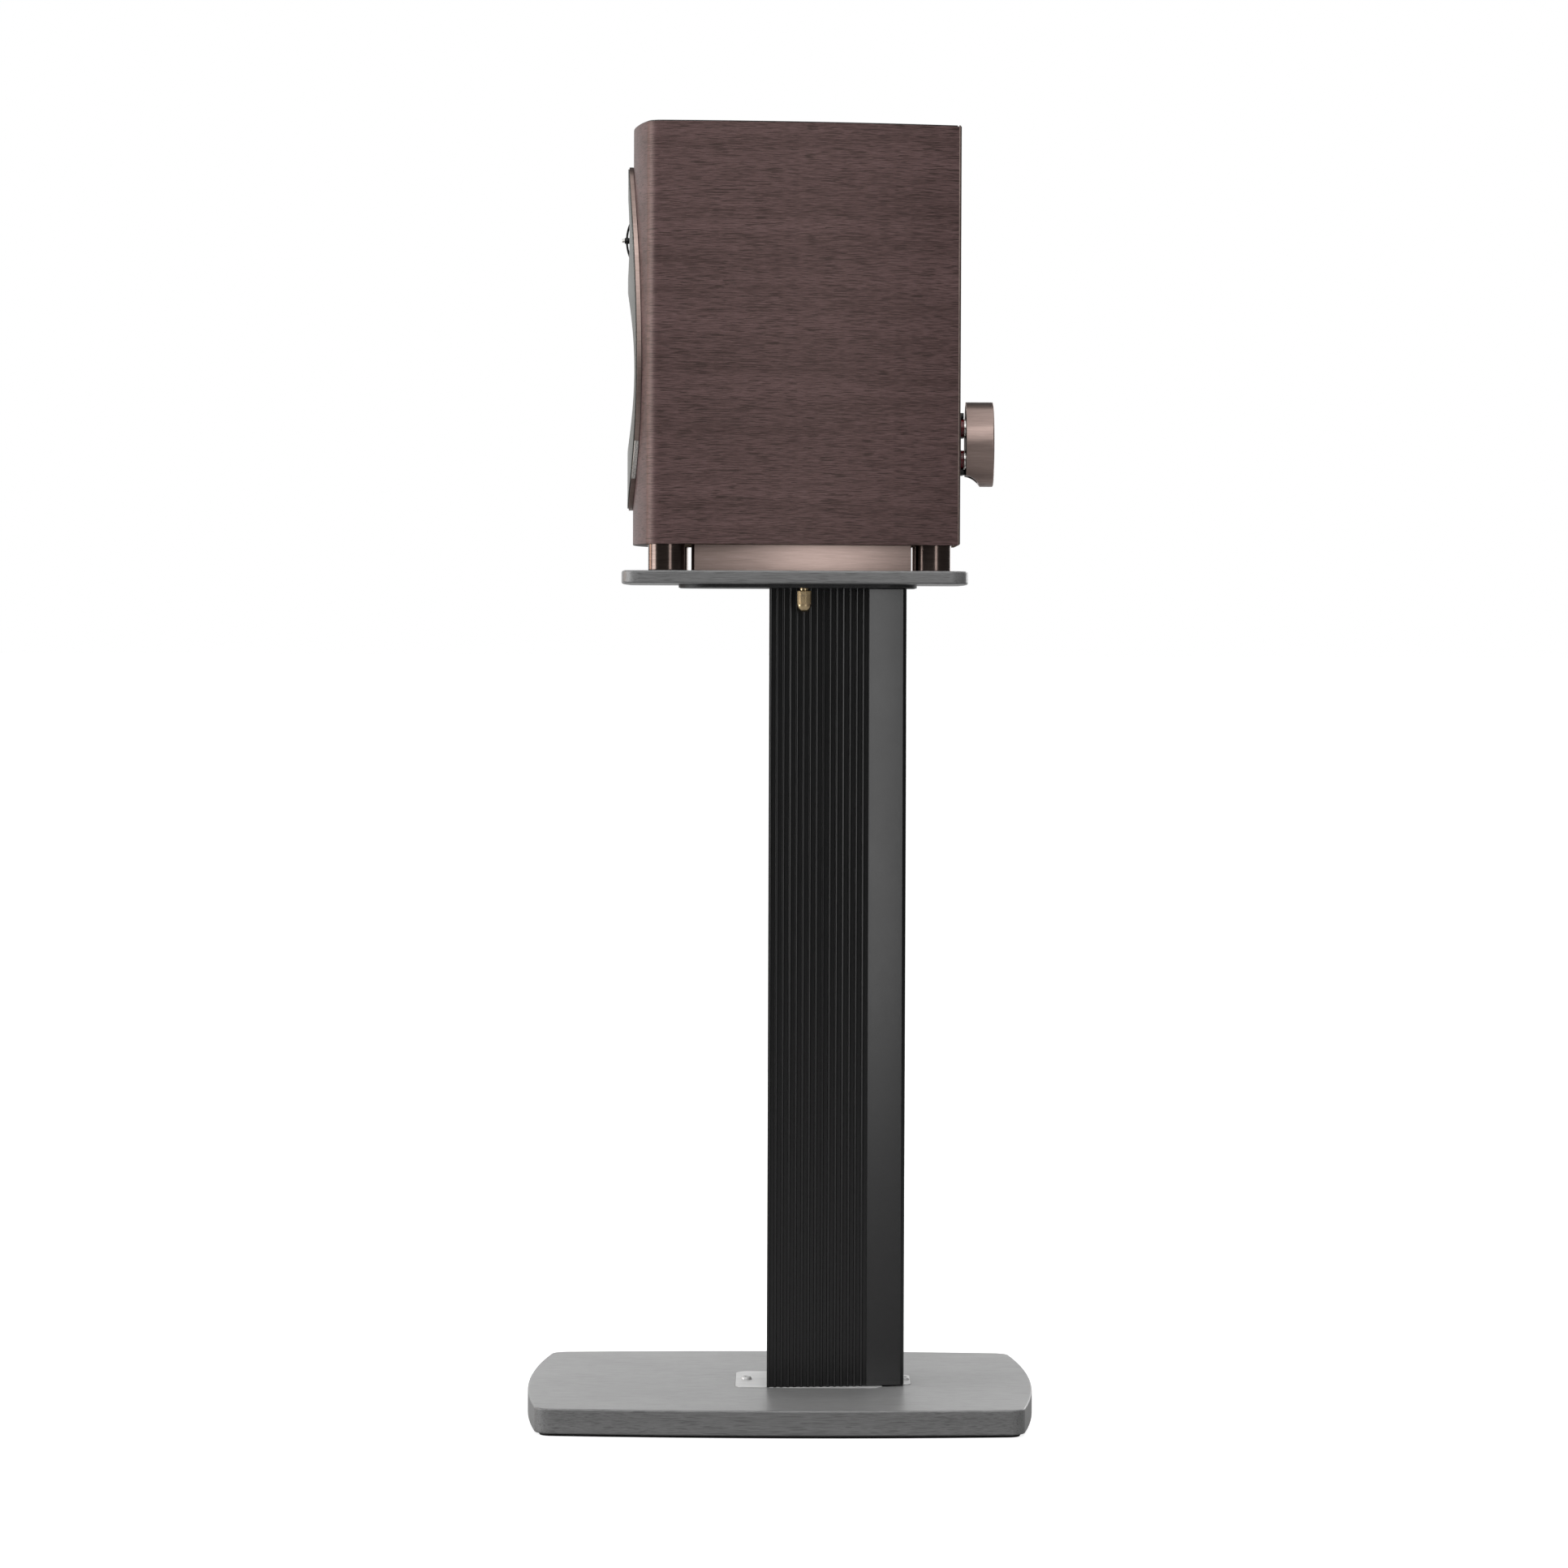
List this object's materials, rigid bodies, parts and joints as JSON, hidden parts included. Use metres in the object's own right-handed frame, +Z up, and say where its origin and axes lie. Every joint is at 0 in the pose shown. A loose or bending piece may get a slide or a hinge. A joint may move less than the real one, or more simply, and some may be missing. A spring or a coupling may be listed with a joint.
{
  "type": "bookshelf speaker on floor stand",
  "caption": "Two-way bookshelf loudspeaker with a curved veneered cabinet, clamped by knurled screws to its matching floor stand.",
  "frame": {"origin": "on the floor, under the middle of the stand's base plate", "axes": "+Z up; -Y is the speaker's front, towards the listener; +X is on the right for someone who stands behind the speaker and is on the left for the listener, and is the side of the red posts"},
  "size_m": [0.3638, 0.4198, 1.066],
  "materials": {
    "veneer": "dark reddish-brown open-grain veneer, satin lacquer",
    "board": "bare fibre board",
    "top_leather": "black grained covering, matt",
    "bronze": "brushed and anodised bronze, satin",
    "fascia": "dark grey, satin",
    "plaque": "stippled silver, no marking",
    "stand_board": "grey-stained wood, satin",
    "black_steel": "black powder coat",
    "flange_steel": "satin light grey",
    "column": "black anodised, satin",
    "pad": "black, matt",
    "brass": "turned and knurled brass",
    "screw_steel": "blackened steel",
    "black_plastic": "moulded black",
    "nickel": "bright nickel plate",
    "insulator": "dark red on the right pair, black on the left pair",
    "cone": "woven fibre cone, satin",
    "surround": "soft black rubber",
    "spider": "resin-treated cloth",
    "basket": "black painted casting",
    "motor_steel": "zinc plated",
    "ferrite": "sintered ferrite",
    "coil_copper": "enamelled copper on a former",
    "dome": "coated soft dome",
    "tweeter_black": "satin black",
    "circuit_board": "green laminate",
    "capacitor": "film capacitor sleeve",
    "resistor": "ceramic",
    "wire": "insulated hook-up wire",
    "wadding": "polyester wadding"
  },
  "bodies": {
    "root": {"stand_base_pad": "pad", "stand_base_plate": "stand_board", "stand_foot_flange": "flange_steel", "stand_column": "column", "stand_cable_cover": "column", "stand_under_plate": "black_steel", "stand_top_plate": "stand_board", "stand_column_screws": "screw_steel", "plinth_pillars": "bronze", "plinth_blades": "bronze", "plinth_screws": "screw_steel", "cabinet_wrap": "veneer", "top_panel": "top_leather", "bottom_panel": "board", "rear_panel": "board", "rear_trim_plate": "bronze", "sub_baffle": "board", "window_brace": "board", "damping_wadding": "wadding", "port_tube": "black_plastic", "rear_screws": "screw_steel", "front_plate": "bronze", "front_fascia": "fascia", "side_plaques": "plaque", "woofer_basket": "basket", "woofer_surround": "surround", "woofer_spider": "spider", "woofer_top_plate": "motor_steel", "woofer_magnet": "ferrite", "woofer_yoke": "motor_steel", "tweeter_faceplate": "tweeter_black", "tweeter_surround": "dome", "tweeter_motor": "motor_steel", "tweeter_bridge": "tweeter_black", "driver_screws": "screw_steel", "crossover_board": "circuit_board", "crossover_coils": "coil_copper", "crossover_capacitors": "capacitor", "crossover_resistors": "resistor", "internal_wiring": "wire", "terminal_plate": "black_plastic", "terminal_ring": "bronze", "post_stems": "nickel", "post_insulators": "insulator"},
    "woofer_moving": {"woofer_cone": "cone", "woofer_dust_cap": "cone", "woofer_voice_coil": "coil_copper"},
    "tweeter_moving": {"tweeter_dome": "dome"},
    "collar_upper_red": {"post_collar_upper_red": "nickel"},
    "knob_upper_red": {"post_knob_upper_red": "nickel"},
    "collar_upper_black": {"post_collar_upper_black": "nickel"},
    "knob_upper_black": {"post_knob_upper_black": "nickel"},
    "collar_lower_red": {"post_collar_lower_red": "nickel"},
    "knob_lower_red": {"post_knob_lower_red": "nickel"},
    "collar_lower_black": {"post_collar_lower_black": "nickel"},
    "knob_lower_black": {"post_knob_lower_black": "nickel"},
    "clamp_washer_left": {"clamp_washer_left": "brass"},
    "clamp_screw_left": {"clamp_screw_left": "brass"},
    "clamp_washer_right": {"clamp_washer_right": "brass"},
    "clamp_screw_right": {"clamp_screw_right": "brass"}
  },
  "joints": [
    {"name": "woofer_excursion", "type": "slide", "parent": "root", "child": "woofer_moving", "axis": [0, -1, 0], "range_m": [-0.005, 0.005], "stiffness_N_per_m": 1000, "deforming": ["woofer_surround", "woofer_spider"]},
    {"name": "tweeter_excursion", "type": "slide", "parent": "root", "child": "tweeter_moving", "axis": [0, -1, 0], "range_m": [-0.0004, 0.0004], "stiffness_N_per_m": 5000, "deforming": ["tweeter_surround"]},
    {"name": "collar_slide_upper_red", "type": "slide", "parent": "root", "child": "collar_upper_red", "axis": [0, 1, 0], "range_m": [0, 0.004]},
    {"name": "knob_turn_upper_red", "type": "hinge", "parent": "collar_upper_red", "child": "knob_upper_red", "pos_m": [0.0127, 0.1645, 0.819], "axis": [0, 1, 0], "range_deg": [0, 1440]},
    {"name": "collar_slide_upper_black", "type": "slide", "parent": "root", "child": "collar_upper_black", "axis": [0, 1, 0], "range_m": [0, 0.004]},
    {"name": "knob_turn_upper_black", "type": "hinge", "parent": "collar_upper_black", "child": "knob_upper_black", "pos_m": [-0.0127, 0.1645, 0.819], "axis": [0, 1, 0], "range_deg": [0, 1440]},
    {"name": "collar_slide_lower_red", "type": "slide", "parent": "root", "child": "collar_lower_red", "axis": [0, 1, 0], "range_m": [0, 0.004]},
    {"name": "knob_turn_lower_red", "type": "hinge", "parent": "collar_lower_red", "child": "knob_lower_red", "pos_m": [0.0127, 0.1645, 0.793], "axis": [0, 1, 0], "range_deg": [0, 1440]},
    {"name": "collar_slide_lower_black", "type": "slide", "parent": "root", "child": "collar_lower_black", "axis": [0, 1, 0], "range_m": [0, 0.004]},
    {"name": "knob_turn_lower_black", "type": "hinge", "parent": "collar_lower_black", "child": "knob_lower_black", "pos_m": [-0.0127, 0.1645, 0.793], "axis": [0, 1, 0], "range_deg": [0, 1440]},
    {"name": "washer_slide_left", "type": "slide", "parent": "root", "child": "clamp_washer_left", "axis": [0, 0, -1], "range_m": [0, 0.012]},
    {"name": "clamp_turn_left", "type": "hinge", "parent": "clamp_washer_left", "child": "clamp_screw_left", "pos_m": [-0.062, 0.0179, 0.6774], "axis": [0, 0, -1], "range_deg": [0, 4320]},
    {"name": "washer_slide_right", "type": "slide", "parent": "root", "child": "clamp_washer_right", "axis": [0, 0, -1], "range_m": [0, 0.012]},
    {"name": "clamp_turn_right", "type": "hinge", "parent": "clamp_washer_right", "child": "clamp_screw_right", "pos_m": [0.062, 0.0179, 0.6774], "axis": [0, 0, -1], "range_deg": [0, 4320]}
  ],
  "couplings": [
    {"joint": "collar_slide_upper_red", "follows": "knob_turn_upper_red", "m_per_rad": 0.00015915},
    {"joint": "collar_slide_upper_black", "follows": "knob_turn_upper_black", "m_per_rad": 0.00015915},
    {"joint": "collar_slide_lower_red", "follows": "knob_turn_lower_red", "m_per_rad": 0.00015915},
    {"joint": "collar_slide_lower_black", "follows": "knob_turn_lower_black", "m_per_rad": 0.00015915},
    {"joint": "washer_slide_left", "follows": "clamp_turn_left", "m_per_rad": 0.00015915},
    {"joint": "washer_slide_right", "follows": "clamp_turn_right", "m_per_rad": 0.00015915}
  ]
}
